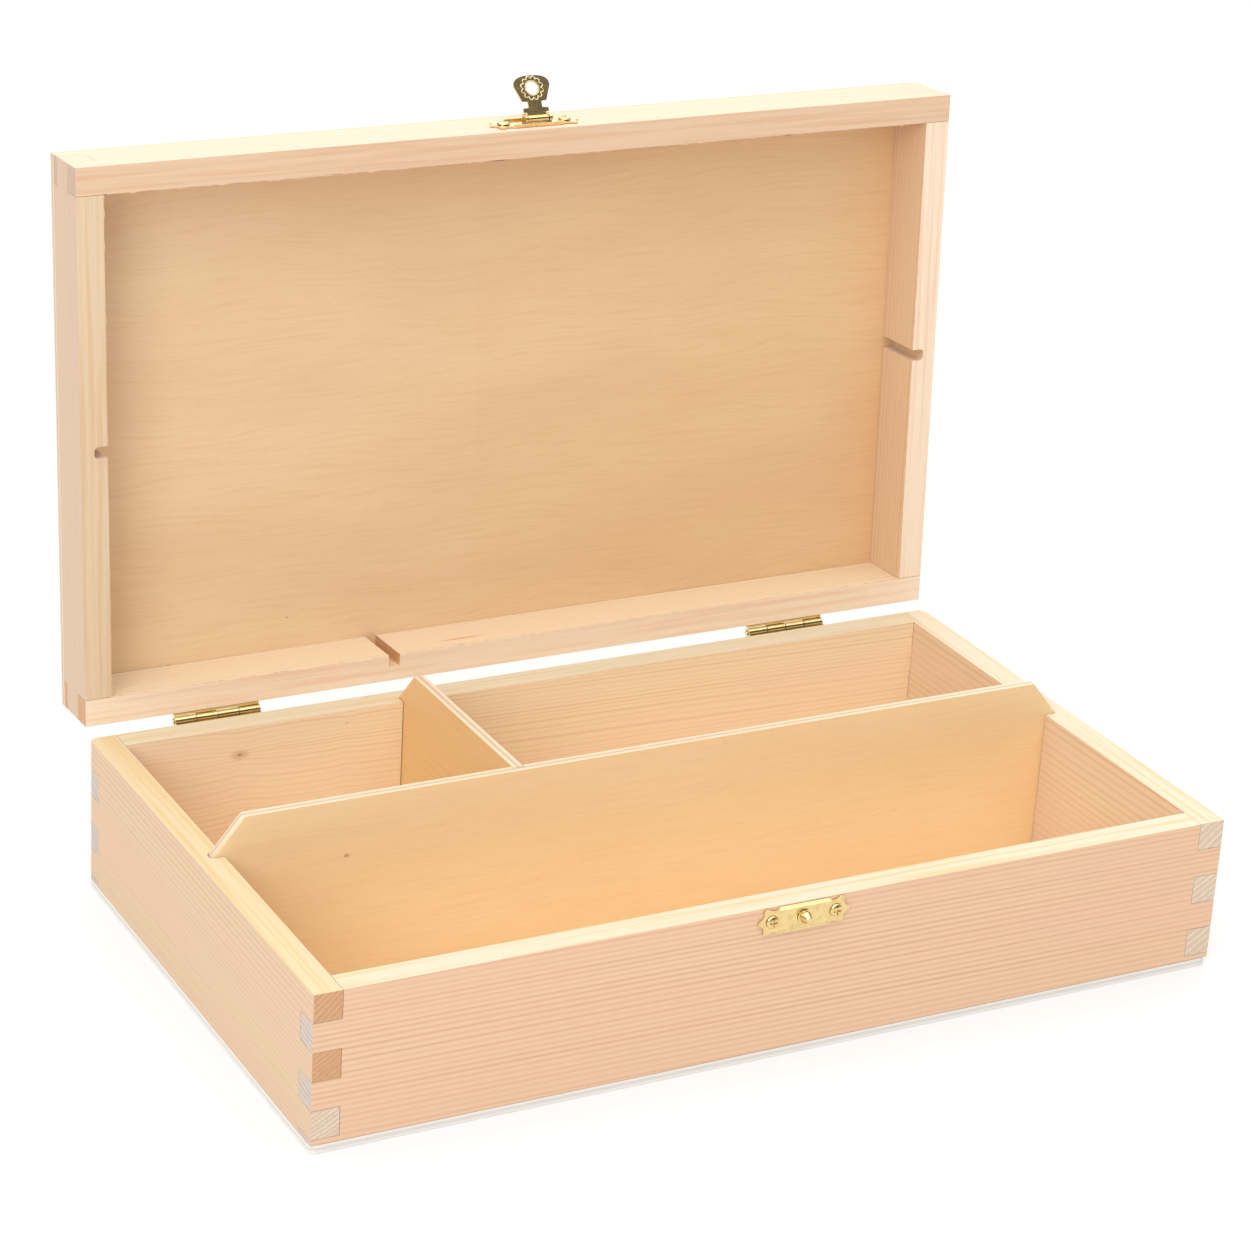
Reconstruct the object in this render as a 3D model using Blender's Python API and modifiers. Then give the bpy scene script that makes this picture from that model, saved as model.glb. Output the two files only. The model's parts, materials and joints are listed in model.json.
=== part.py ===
"""A wooden toy box: a finger-jointed pine box sawn into a base and a hinged lid.

Two plywood dividers stand in the base, and a brass catch holds the lid shut.
The box stands open, as it is used. Metres, +X to the right seen from the front,
-Y to the front, +Z up. The origin is the centre of the bottom panel's underside.

Every piece is given by its place in the closed box. The lid's pieces hang on an
empty on the hinge axis, which is turned to open the lid, and the hasp's flap
hangs on an empty of its own on the lid.
"""

import math
from functools import partial

import bmesh
import bpy
from mathutils import Matrix, Vector

# The wooden box, outside
LENGTH = 0.350
DEPTH = 0.204
WALL = 0.010
PLY = 0.003
BASE_WALL_HEIGHT = 0.0547
LID_WALL_HEIGHT = 0.0220
SAW_CUT = 0.0028
CORNER_RADIUS = 0.0028

# Finger joints: heights above the walls' lower edge
FINGER = 0.0106
FIRST_STEP = 0.0019

# Gaps
GLUE_GAP = 0.00015
FIT_GAP = 0.0003
MARGIN = 0.002
TOLERANCE = 0.00001

# Dividers and the grooves that hold them
DIVIDER_PLY = 0.0038
DIVIDER_TOP = 0.0135
DIVIDER_CORNER = 0.0011
LONG_DIVIDER_SLOPE = 0.0110
CROSS_DIVIDER_SLOPE = 0.0125
CROSS_DIVIDER_X = -0.0543
GROOVE_WIDTH = 0.0044
GROOVE_DEPTH = 0.0049
GROOVE_CORNER = 0.0015
TEE_GROOVE_DEPTH = 0.0012

# Hinges
LID_OPEN = math.radians(93)
HINGE_XS = {"left": -0.125, "right": 0.113}
HINGE_OFFSET = 0.00295
HINGE_LENGTH = 0.033
LEAF_HEIGHT = 0.011
LEAF_THICKNESS = 0.0008
LEAF_CORNER = 0.0015
BARREL_RADIUS = 0.00175
BORE_RADIUS = 0.0010
PIN_RADIUS = 0.00075
PIN_OVERHANG = 0.0003
KNUCKLES = 4
WEB_DEPTH = 0.00095
LEAF_SCREW_X = 0.0105
LEAF_SCREW_HEIGHT = 0.0065

# Catch and hasp
CATCH_X = 0.0026
CATCH_BELOW_RIM = 0.0053
HASP_ABOVE_RIM = 0.0087
PLATE_THICKNESS = 0.0006
LIP_RISE = 0.0007
LIP_INNER = 0.0041
LIP_END = 0.0098
PLATE_SCREW_X = 0.0123
PLATE_QUARTER = (
    (0.0, 0.0049),
    (0.0092, 0.0049),
    (0.0112, 0.0040),
    (0.0130, 0.0044),
    (0.0144, 0.0050),
    (0.0156, 0.0042),
    (0.0154, 0.0028),
    (0.0162, 0.0014),
    (0.0175, 0.0006),
)
STUD_PROFILE = (
    (0.0, 0.0039),
    (0.0008, 0.0038),
    (0.00125, 0.0032),
    (0.0016, 0.0024),
    (0.0021, 0.0016),
    (0.0022, 0.0010),
    (0.0016, 0.00055),
    (0.0026, 0.00045),
    (0.0026, 0.00015),
    (0.0012, 0.00015),
)
STUD_SHANK_RADIUS = 0.0012
STUD_HOLE_RADIUS = 0.0015

# The hasp's flap, measured from its pivot
FLAP_OPEN = math.radians(117)
FLAP_PIVOT_ABOVE_RIM = 0.0060
FLAP_PIVOT_OUT = 0.0025
FLAP_THICKNESS = 0.0006
CURL_RADIUS = 0.0013
CURL_BORE_RADIUS = 0.0008
CURL_WIDTH = 0.0080
CURL_OVERLAP = 0.00025
FLAP_ROOT_HALF_WIDTH = 0.0037
SHOULDER_DROP = 0.0002
TEE_START = 0.0024
TEE_END = 0.0041
TEE_HALF_WIDTH = 0.00505
NECK_HALF_WIDTH = 0.0027
FAN_START = 0.00635
FAN_START_HALF_WIDTH = 0.00485
FAN_HALF_WIDTH = 0.00715
FAN_SHOULDER = 0.0121
FAN_END = 0.0160
FAN_SQUARENESS = 0.75
FLAP_HOLE = 0.0113
FLAP_HOLE_RADIUS = 0.0025
EAR_THICKNESS = 0.0008
EAR_GAP = 0.0004
EAR_RADIUS = 0.0015
HEEL_RISE = 0.00185
HEEL_START = 0.0006
HEEL_END = 0.0020
HASP_PIN_RADIUS = 0.00055

# Screws
SCREW_HEAD_RADIUS = 0.0024
SCREW_HEAD_HEIGHT = 0.0011
SCREW_SHANK_RADIUS = 0.0010
SCREW_LENGTH = 0.0080
SCREW_POINT = 0.0018
SCREW_HOLE_RADIUS = 0.0013
CROSS_LENGTH = 0.0026
CROSS_WIDTH = 0.0006
CROSS_DEPTH = 0.0007
HEAD_ANGLES = (0, 18, 36, 54, 72, 85)

# Facets
FINE_SIDES = 32
COARSE_SIDES = 20
FAN_STEPS = 16
CURVE_STEPS = 4
STRAIGHT_SIDE = 0.005
EAR_STEPS = 8
CORNER_SEGMENTS = 8
GROOVE_SEGMENTS = 4
DIVIDER_SEGMENTS = 3
LEAF_SEGMENTS = 4
SHARP_ANGLE = math.radians(40)

# Levels and places worked out from the above
WALL_BOTTOM = PLY + GLUE_GAP
RIM = WALL_BOTTOM + BASE_WALL_HEIGHT
LID_RIM = RIM + FIT_GAP
LID_TOP = LID_RIM + LID_WALL_HEIGHT
LID_CUT = BASE_WALL_HEIGHT + SAW_CUT
HALF_LENGTH = LENGTH / 2
HALF_DEPTH = DEPTH / 2
INNER_X = HALF_LENGTH - WALL
INNER_Y = HALF_DEPTH - WALL
GROOVE_END_X = INNER_X + GROOVE_DEPTH
GROOVE_END_Y = INNER_Y + GROOVE_DEPTH
METAL_FACE = HALF_DEPTH + GLUE_GAP
PLATE_FACE = METAL_FACE + PLATE_THICKNESS
LEAF_INNER = HALF_DEPTH + GLUE_GAP - (HALF_DEPTH + HINGE_OFFSET)
LEAF_OUTER = LEAF_INNER + LEAF_THICKNESS
LID_AXIS = Vector((0, HALF_DEPTH + HINGE_OFFSET, RIM + FIT_GAP / 2))
FLAP_AXIS = Vector((CATCH_X, -HALF_DEPTH - FLAP_PIVOT_OUT, LID_RIM + FLAP_PIVOT_ABOVE_RIM))

COLOURS = {
    "pine": ((0.78, 0.49, 0.30), 0.55, 0.0),
    "plywood": ((0.74, 0.50, 0.26), 0.5, 0.0),
    "brass": ((0.83, 0.62, 0.25), 0.22, 1.0),
}


def clear_scene():
    for obj in list(bpy.data.objects):
        bpy.data.objects.remove(obj, do_unlink=True)


def new_collection(name):
    collection = bpy.data.collections.new(name)
    bpy.context.scene.collection.children.link(collection)
    return collection


def finish(name, finish_name):
    """A Principled material of one of the object's three finishes, for one piece."""
    colour, roughness, metallic = COLOURS[finish_name]
    material = bpy.data.materials.new(name + "_" + finish_name)
    material.use_nodes = True
    shader = material.node_tree.nodes["Principled BSDF"]
    shader.inputs["Base Color"].default_value = (*colour, 1)
    shader.inputs["Roughness"].default_value = roughness
    shader.inputs["Metallic"].default_value = metallic
    material.diffuse_color = (*colour, 1)
    return material


def place(obj, point, frame):
    """Puts obj at a point of the closed box, on a frame that may be turned open."""
    empty, origin = frame
    obj.parent = empty
    obj.location = Vector(point) - origin


def add_piece(name, mesh, finish_name, point, frame):
    obj = bpy.data.objects.new(name, mesh)
    parts.objects.link(obj)
    mesh.materials.append(finish(name, finish_name))
    place(obj, point, frame)
    return obj


def add_tool(name, mesh, point, frame):
    """A shape that only cuts or joins, and isn't a piece of the object."""
    obj = bpy.data.objects.new(name, mesh)
    cutters.objects.link(obj)
    obj.hide_render = True
    obj.display_type = "WIRE"
    place(obj, point, frame)
    return obj


def boolean(obj, tool, operation="DIFFERENCE"):
    modifier = obj.modifiers.new(tool.name, "BOOLEAN")
    modifier.operation = operation
    modifier.solver = "EXACT"
    modifier.object = tool


def to_mesh(bm, name):
    mesh = bpy.data.meshes.new(name)
    bm.to_mesh(mesh)
    bm.free()
    return mesh


def boxes_mesh(name, boxes, centre):
    """Boxes from (low corner, high corner) pairs, round the centre."""
    bm = bmesh.new()
    for low, high in boxes:
        low, high = Vector(low), Vector(high)
        size = Matrix.Diagonal((*(high - low), 1))
        bmesh.ops.create_cube(bm, size=1, matrix=Matrix.Translation((low + high) / 2 - centre) @ size)
    return to_mesh(bm, name)


def block(name, low, high, finish_name, frame):
    centre = (Vector(low) + Vector(high)) / 2
    return add_piece(name, boxes_mesh(name, [(low, high)], centre), finish_name, centre, frame)


def cut_boxes(obj, name, boxes, frame):
    centre = (Vector(boxes[0][0]) + Vector(boxes[0][1])) / 2
    boolean(obj, add_tool(name, boxes_mesh(name, boxes, centre), centre, frame))


def round_edges(mesh, chosen, radius, segments):
    """Rounds a mesh's sharp straight edges between the ends for which chosen(end, end) holds."""
    bm = bmesh.new()
    bm.from_mesh(mesh)
    edges = []
    for edge in bm.edges:
        first, second = (v.co for v in edge.verts)
        if chosen(first, second) and edge.calc_face_angle() > 1:
            edges.append(edge)
    bmesh.ops.bevel(bm, geom=edges, offset=radius, segments=segments, profile=0.5, affect="EDGES")
    bm.to_mesh(mesh)
    bm.free()


def upright(first, second):
    return abs(first.z - second.z) > WALL / 10


def outline_mesh(name, outlines, thickness, turn):
    """A flat outline with its holes, thickness deep about its middle, turned from the XY plane."""
    curve = bpy.data.curves.new(name, "CURVE")
    curve.dimensions = "2D"
    curve.fill_mode = "BOTH"
    curve.extrude = thickness / 2
    for outline in outlines:
        spline = curve.splines.new("POLY")
        spline.points.add(len(outline) - 1)
        for point, (x, y) in zip(spline.points, outline):
            point.co = (x, y, 0, 1)
        spline.use_cyclic_u = True
    source = bpy.data.objects.new(name, curve)
    parts.objects.link(source)
    evaluated = source.evaluated_get(bpy.context.evaluated_depsgraph_get())
    mesh = bpy.data.meshes.new_from_object(evaluated)
    bpy.data.objects.remove(source)
    bpy.data.curves.remove(curve)
    bm = bmesh.new()
    bm.from_mesh(mesh)
    bmesh.ops.remove_doubles(bm, verts=bm.verts, dist=1e-6)
    bmesh.ops.recalc_face_normals(bm, faces=bm.faces)
    bm.transform(turn)
    bm.to_mesh(mesh)
    bm.free()
    mesh.name = name
    return mesh


def arc(radius, start, end, steps, centre=(0, 0)):
    """Points on an arc, both ends included; angles in degrees."""
    angles = [math.radians(start + (end - start) * i / steps) for i in range(steps + 1)]
    return [(centre[0] + radius * math.cos(a), centre[1] + radius * math.sin(a)) for a in angles]


def circle(radius, sides, centre=(0, 0)):
    return arc(radius, 0, 360, sides, centre)[:-1]


# Turns an outline drawn in the XY plane: its x to X and y to Z, or its x to Y and y to Z
UPRIGHT_XZ = Matrix.Rotation(math.pi / 2, 4, "X")
UPRIGHT_YZ = Matrix(((0, 0, 1, 0), (1, 0, 0, 0), (0, 1, 0, 0), (0, 0, 0, 1)))

# Turns +Z, a turned piece's own axis, to the front, to the back or to the right
TO_FRONT = Matrix.Rotation(math.pi / 2, 4, "X")
TO_BACK = Matrix.Rotation(-math.pi / 2, 4, "X")
TO_RIGHT = Matrix.Rotation(math.pi / 2, 4, "Y")


def rod_mesh(name, radius, length, sides, turn):
    bm = bmesh.new()
    bmesh.ops.create_cone(
        bm, cap_ends=True, segments=sides, radius1=radius, radius2=radius, depth=length, matrix=turn
    )
    return to_mesh(bm, name)


def rod(name, radius, length, sides, turn, finish_name, point, frame):
    mesh = rod_mesh(name, radius, length, sides, turn)
    obj = add_piece(name, mesh, finish_name, point, frame)
    mesh.shade_smooth()
    mesh.set_sharp_from_angle(angle=SHARP_ANGLE)
    return obj


def drill(obj, name, radius, length, sides, turn, point, frame):
    boolean(obj, add_tool(name, rod_mesh(name, radius, length, sides, turn), point, frame))


def turned(name, profile, sides, turn, finish_name, point, frame):
    """A turned piece from a profile of (radius, height), from its tip down its outer side."""
    mesh = bpy.data.meshes.new(name)
    points = [(radius, 0, height) for radius, height in profile]
    mesh.from_pydata(points, [(i, i + 1) for i in range(len(points) - 1)], [])
    obj = add_piece(name, mesh, finish_name, point, frame)
    obj.rotation_euler = turn.to_euler()
    screw = obj.modifiers.new("turn", "SCREW")
    screw.steps = sides
    screw.render_steps = sides
    screw.use_merge_vertices = True
    screw.merge_threshold = 0.00001
    screw.use_smooth_shade = True
    return obj


def fingers(start, low, high):
    """The heights between low and high of the fingers that come every second step from start."""
    spans = []
    level = start
    while level < high:
        if level + FINGER > low:
            spans.append((max(level, low), min(level + FINGER, high)))
        level += 2 * FINGER
    return spans


def notch_levels(start, low, high, lift):
    """The fingers' heights as cuts: a glue gap wider, and past the wall's own edges."""
    levels = []
    for bottom, top in fingers(start, low, high):
        bottom = bottom - MARGIN if bottom == low else bottom - GLUE_GAP / 2
        top = top + MARGIN if top == high else top + GLUE_GAP / 2
        levels.append((bottom + lift, top + lift))
    return levels


def groove(obj, name, end, turn, low, high, frame):
    """A groove for a divider's edge: its round-cornered bottom is at end, and it opens along turn."""
    corner = (0, -GROOVE_WIDTH / 2, low)
    opposite = (GROOVE_DEPTH + MARGIN, GROOVE_WIDTH / 2, high)
    centre = (Vector(corner) + Vector(opposite)) / 2
    mesh = boxes_mesh(name, [(corner, opposite)], centre)
    round_edges(mesh, lambda a, b: upright(a, b) and a.x < 0, GROOVE_CORNER, GROOVE_SEGMENTS)
    rotation = Matrix.Rotation(turn, 4, "Z")
    mesh.transform(rotation)
    boolean(obj, add_tool(name, mesh, Vector(end) + rotation @ centre, frame))


def at_back(first, second):
    return upright(first, second) and first.y > 0


def at_outer_back(outward, first, second):
    return at_back(first, second) and first.x * outward > 0


def add_walls(half, low, high, lift, frame):
    """Four finger-jointed walls between two heights of the uncut box."""
    bottom, top = low + lift, high + lift
    past_x, past_y = HALF_LENGTH + MARGIN, HALF_DEPTH + MARGIN
    shoulder_x, shoulder_y = INNER_X - GLUE_GAP, INNER_Y - GLUE_GAP
    walls = {}

    # Front and back walls, notched for the side walls' fingers
    notches = []
    for level_low, level_high in notch_levels(FIRST_STEP, low, high, lift):
        for x_low, x_high in ((-past_x, -shoulder_x), (shoulder_x, past_x)):
            notches.append(((x_low, -past_y, level_low), (x_high, past_y, level_high)))
    for side, y_low, y_high in (("front", -HALF_DEPTH, -INNER_Y), ("back", INNER_Y, HALF_DEPTH)):
        name = half + "_" + side + "_wall"
        wall = block(name, (-HALF_LENGTH, y_low, bottom), (HALF_LENGTH, y_high, top), "pine", frame)
        if half == "base" and side == "back":
            round_edges(wall.data, at_back, CORNER_RADIUS, CORNER_SEGMENTS)
        cut_boxes(wall, name + "_notches", notches, frame)
        walls[side] = wall

    # Side walls, notched for the front and back walls' fingers
    notches = []
    for level_low, level_high in notch_levels(FIRST_STEP - FINGER, low, high, lift):
        for y_low, y_high in ((-past_y, -shoulder_y), (shoulder_y, past_y)):
            notches.append(((-past_x, y_low, level_low), (past_x, y_high, level_high)))
    for side, x_low, x_high, outward in (
        ("left", -HALF_LENGTH, -INNER_X, -1),
        ("right", INNER_X, HALF_LENGTH, 1),
    ):
        name = half + "_" + side + "_wall"
        wall = block(name, (x_low, -HALF_DEPTH, bottom), (x_high, HALF_DEPTH, top), "pine", frame)
        if half == "base":
            round_edges(wall.data, partial(at_outer_back, outward), CORNER_RADIUS, CORNER_SEGMENTS)
        cut_boxes(wall, name + "_notches", notches, frame)
        turn = 0 if side == "left" else math.pi
        groove_end = (outward * GROOVE_END_X, 0, 0)
        groove(wall, name + "_groove", groove_end, turn, bottom - MARGIN, top + MARGIN, frame)
        walls[side] = wall

    groove_end = (CROSS_DIVIDER_X, GROOVE_END_Y, 0)
    name = half + "_back_wall_groove"
    groove(walls["back"], name, groove_end, -math.pi / 2, bottom - MARGIN, top + MARGIN, frame)
    return walls


def add_panels():
    panel = block(
        "base_bottom_panel", (-HALF_LENGTH, -HALF_DEPTH, 0), (HALF_LENGTH, HALF_DEPTH, PLY), "plywood", base
    )
    round_edges(panel.data, upright, CORNER_RADIUS, CORNER_SEGMENTS)
    low = (-HALF_LENGTH, -HALF_DEPTH, LID_TOP + GLUE_GAP)
    high = (HALF_LENGTH, HALF_DEPTH, LID_TOP + GLUE_GAP + PLY)
    block("lid_panel", low, high, "plywood", lid)


def at_end(axis, end, first, second):
    """Holds for the upright edges that a divider's end has at that distance from the middle."""
    reach = abs(abs(getattr(first, axis)) - end) < TOLERANCE
    return reach and abs(first.z - second.z) > WALL


def add_dividers():
    bottom, top = PLY + FIT_GAP, RIM + DIVIDER_TOP

    # The long divider spans the two side walls' grooves, its top corners cut off above the rim
    end = GROOVE_END_X - GLUE_GAP - FIT_GAP
    outline = [(end, bottom), (end, RIM), (end - LONG_DIVIDER_SLOPE, top)]
    outline += [(-x, z) for x, z in reversed(outline)]
    mesh = outline_mesh("long_divider", [outline], DIVIDER_PLY, UPRIGHT_XZ)
    long_divider = add_piece("long_divider", mesh, "plywood", (0, 0, 0), base)
    in_side_groove = partial(at_end, "x", end)
    round_edges(mesh, in_side_groove, DIVIDER_CORNER, DIVIDER_SEGMENTS)
    low = (CROSS_DIVIDER_X - GROOVE_WIDTH / 2, DIVIDER_PLY / 2 - TEE_GROOVE_DEPTH, bottom - MARGIN)
    high = (CROSS_DIVIDER_X + GROOVE_WIDTH / 2, DIVIDER_PLY / 2 + MARGIN, top + MARGIN)
    cut_boxes(long_divider, "tee_groove", [(low, high)], base)

    # The cross divider runs from the long one to the back wall
    start = DIVIDER_PLY / 2 - TEE_GROOVE_DEPTH + FIT_GAP
    end = GROOVE_END_Y - GLUE_GAP - FIT_GAP
    outline = [(start, bottom), (end, bottom), (end, RIM), (end - CROSS_DIVIDER_SLOPE, top), (start, top)]
    mesh = outline_mesh("cross_divider", [outline], DIVIDER_PLY, UPRIGHT_YZ)
    add_piece("cross_divider", mesh, "plywood", (CROSS_DIVIDER_X, 0, 0), base)
    in_back_groove = partial(at_end, "y", end)
    round_edges(mesh, in_back_groove, DIVIDER_CORNER, DIVIDER_SEGMENTS)


def screw(name, turn, point, frame):
    """A small round-headed cross-recess wood screw; point is the centre of the head's underside."""
    head = [
        (SCREW_HEAD_RADIUS * math.sin(a), SCREW_HEAD_HEIGHT * math.cos(a))
        for a in map(math.radians, HEAD_ANGLES)
    ]
    profile = head + [
        (SCREW_HEAD_RADIUS, 0),
        (SCREW_SHANK_RADIUS, 0),
        (SCREW_SHANK_RADIUS, SCREW_POINT - SCREW_LENGTH),
        (0, -SCREW_LENGTH),
    ]
    obj = turned(name, profile, COARSE_SIDES, turn, "brass", point, frame)
    half_length, half_width = CROSS_LENGTH / 2, CROSS_WIDTH / 2
    bottom, top = SCREW_HEAD_HEIGHT - CROSS_DEPTH, SCREW_HEAD_HEIGHT + MARGIN
    for arm, (x, y) in {"a": (half_length, half_width), "b": (half_width, half_length)}.items():
        mesh = boxes_mesh(name + "_recess_" + arm, [((-x, -y, bottom), (x, y, top))], Vector())
        mesh.transform(turn)
        boolean(obj, add_tool(name + "_recess_" + arm, mesh, point, frame))


def screw_down(names_to_walls, x, z, metal, face, turn, frame):
    """One screw through a metal piece into the wall behind it, and the holes for it."""
    name, wall = names_to_walls
    outward = turn @ Vector((0, 0, 1))
    y = outward.y * face
    hole_length = 2 * SCREW_LENGTH
    for obj, tag in ((metal, "_metal_hole"), (wall, "_pilot_hole")):
        drill(obj, name + tag, SCREW_HOLE_RADIUS, hole_length, COARSE_SIDES, turn, (x, y, z), frame)
    screw(name, turn, (x, y + outward.y * GLUE_GAP, z), frame)


def leaf_outline(upward):
    """A hinge leaf and its knuckle seen along the pin: leaf down for the base, up for the lid."""
    edge = FIT_GAP / 2
    edge_angle = math.degrees(math.asin(edge / BARREL_RADIUS))
    web_angle = math.degrees(math.asin(WEB_DEPTH / BARREL_RADIUS))
    outline = [(LEAF_OUTER, -LEAF_HEIGHT), (LEAF_INNER, -LEAF_HEIGHT), (LEAF_INNER, -edge)]
    outline += arc(BARREL_RADIUS, 180 + edge_angle, web_angle - 180, FINE_SIDES)
    outline.append((LEAF_OUTER, -WEB_DEPTH))
    sign = 1 if upward else -1
    return [(y, -sign * z) for y, z in outline]


def at_leaf_corner(first, second):
    far = abs(first.z) > LEAF_HEIGHT - TOLERANCE
    return far and abs(first.x - second.x) < TOLERANCE and abs(first.z - second.z) < TOLERANCE


def add_leaf(name, side, upward, frame):
    x = HINGE_XS[side]
    outlines = [leaf_outline(upward), circle(BORE_RADIUS, COARSE_SIDES)]
    mesh = outline_mesh(name, outlines, HINGE_LENGTH, UPRIGHT_YZ)
    round_edges(mesh, at_leaf_corner, LEAF_CORNER, LEAF_SEGMENTS)
    leaf = add_piece(name, mesh, "brass", (x, LID_AXIS.y, LID_AXIS.z), frame)

    # The other leaf's knuckles take every second place along the pin
    reach = BARREL_RADIUS + MARGIN
    knuckle = HINGE_LENGTH / KNUCKLES
    boxes = []
    for i in range(0 if upward else 1, KNUCKLES, 2):
        left = x - HINGE_LENGTH / 2 + i * knuckle
        x_low = left - (MARGIN if i == 0 else FIT_GAP / 2)
        x_high = left + knuckle + (MARGIN if i == KNUCKLES - 1 else FIT_GAP / 2)
        y_low = LID_AXIS.y + LEAF_OUTER
        boxes.append(
            ((x_low, y_low, LID_AXIS.z - reach), (x_high, LID_AXIS.y + reach, LID_AXIS.z + reach))
        )
    cut_boxes(leaf, name + "_knuckle_gaps", boxes, frame)
    return leaf


def add_hinge(side, base_walls, lid_walls):
    x = HINGE_XS[side]
    face = LID_AXIS.y + LEAF_OUTER
    for half, upward, walls, frame in (("base", False, base_walls, base), ("lid", True, lid_walls, lid)):
        leaf = add_leaf(side + "_hinge_" + half + "_leaf", side, upward, frame)
        z = LID_AXIS.z + (LEAF_SCREW_HEIGHT if upward else -LEAF_SCREW_HEIGHT)
        for number, offset in enumerate((-LEAF_SCREW_X, LEAF_SCREW_X), 1):
            name = side + "_hinge_" + half + "_screw_" + str(number)
            screw_down((name, walls["back"]), x + offset, z, leaf, face, TO_BACK, frame)
    length = HINGE_LENGTH + 2 * PIN_OVERHANG
    point = (x, LID_AXIS.y, LID_AXIS.z)
    rod(side + "_hinge_pin", PIN_RADIUS, length, COARSE_SIDES, TO_RIGHT, "brass", point, base)


def smoothed(outline):
    """A closed outline with a smooth curve through its points, except along its long straight sides."""
    points = [Vector(p) for p in outline]
    tangents = [(points[(i + 1) % len(points)] - points[i - 1]).normalized() for i in range(len(points))]
    curve = []
    for i, start in enumerate(points):
        following = (i + 1) % len(points)
        end = points[following]
        length = (end - start).length
        steps = CURVE_STEPS if length < STRAIGHT_SIDE else 1
        for step in range(steps):
            t = step / steps
            point = start * (2 * t**3 - 3 * t**2 + 1) + end * (3 * t**2 - 2 * t**3)
            point += tangents[i] * length * (t**3 - 2 * t**2 + t)
            point += tangents[following] * length * (t**3 - t**2)
            curve.append(tuple(point))
    return curve


def plate_outline():
    """The stamped plate's outline: a quarter mirrored twice."""
    right = list(PLATE_QUARTER) + [(x, -z) for x, z in reversed(PLATE_QUARTER)]
    left = [(-x, z) for x, z in reversed(right)]
    return smoothed(right[1:-1] + left[1:-1])


def add_plate(name, z, wall, frame):
    """A stamped brass plate with raised lips along its long edges, screwed to a front wall."""
    depth = PLATE_THICKNESS + LIP_RISE
    mesh = outline_mesh(name, [plate_outline()], depth, UPRIGHT_XZ)
    plate = add_piece(name, mesh, "brass", (CATCH_X, -METAL_FACE - depth / 2, z), frame)
    reach = PLATE_QUARTER[-1][0] + MARGIN
    y_low, y_high = -METAL_FACE - depth - MARGIN, -PLATE_FACE
    boxes = [
        ((CATCH_X - reach, y_low, z - LIP_INNER), (CATCH_X + reach, y_high, z + LIP_INNER)),
    ]
    cut_boxes(plate, name + "_channel", boxes, frame)
    tall = PLATE_QUARTER[0][1] + MARGIN
    boxes = [
        ((CATCH_X - reach, y_low, z - tall), (CATCH_X - LIP_END, y_high, z + tall)),
        ((CATCH_X + LIP_END, y_low, z - tall), (CATCH_X + reach, y_high, z + tall)),
    ]
    cut_boxes(plate, name + "_lip_ends", boxes, frame)
    for number, offset in enumerate((-PLATE_SCREW_X, PLATE_SCREW_X), 1):
        screw_name = name.replace("plate", "screw") + "_" + str(number)
        screw_down((screw_name, wall), CATCH_X + offset, z, plate, PLATE_FACE, TO_FRONT, frame)
    return plate


def add_catch(wall):
    z = RIM - CATCH_BELOW_RIM
    plate = add_plate("catch_plate", z, wall, base)
    point = (CATCH_X, -PLATE_FACE, z)
    drill(plate, "stud_hole", STUD_HOLE_RADIUS, 4 * PLATE_THICKNESS, COARSE_SIDES, TO_FRONT, point, base)
    profile = list(STUD_PROFILE)
    profile += [(STUD_SHANK_RADIUS, -PLATE_THICKNESS), (0, -PLATE_THICKNESS)]
    turned("catch_stud", profile, FINE_SIDES, TO_FRONT, "brass", point, base)


def ear_outline():
    """An ear of the hasp seen along its pin: round, with a heel behind that stops the open flap."""
    root = FLAP_PIVOT_OUT - GLUE_GAP - PLATE_THICKNESS / 2
    outline = [(root, -EAR_RADIUS)] + arc(EAR_RADIUS, 270, 180, EAR_STEPS)
    return outline + [(-HEEL_RISE, HEEL_START), (-HEEL_RISE, HEEL_END), (root, HEEL_END)]


def add_hasp(wall):
    plate = add_plate("hasp_plate", LID_RIM + HASP_ABOVE_RIM, wall, lid)
    reach = CURL_WIDTH / 2 + EAR_GAP + EAR_THICKNESS
    outlines = [ear_outline(), circle(CURL_BORE_RADIUS, COARSE_SIDES)]
    for tag, sign in (("left", -1), ("right", 1)):
        name = "hasp_ear_" + tag
        point = FLAP_AXIS + Vector((sign * (reach - EAR_THICKNESS / 2), 0, 0))
        mesh = outline_mesh(name, outlines, EAR_THICKNESS, UPRIGHT_YZ)
        boolean(plate, add_tool(name, mesh, point, lid), "UNION")
    rod("hasp_pin", HASP_PIN_RADIUS, 2 * reach, COARSE_SIDES, TO_RIGHT, "brass", FLAP_AXIS, lid)
    add_flap()


def flap_outline():
    """The flap hanging down from its pivot: a tee bar, a neck and a fan."""
    right = [
        (FLAP_ROOT_HALF_WIDTH, CURL_RADIUS - CURL_OVERLAP),
        (FLAP_ROOT_HALF_WIDTH, TEE_START),
        (TEE_HALF_WIDTH, TEE_START),
        (TEE_HALF_WIDTH, TEE_END - SHOULDER_DROP),
        (NECK_HALF_WIDTH, TEE_END),
        (NECK_HALF_WIDTH, FAN_START),
        (FAN_START_HALF_WIDTH, FAN_START + SHOULDER_DROP),
    ]
    for i in range(FAN_STEPS):
        angle = math.pi / 2 * i / FAN_STEPS
        x = FAN_HALF_WIDTH * math.cos(angle) ** FAN_SQUARENESS
        drop = FAN_SHOULDER + (FAN_END - FAN_SHOULDER) * math.sin(angle) ** FAN_SQUARENESS
        right.append((x, drop))
    outline = [(x, -drop) for x, drop in right]
    return outline + [(0, -FAN_END)] + [(-x, z) for x, z in reversed(outline)]


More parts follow.
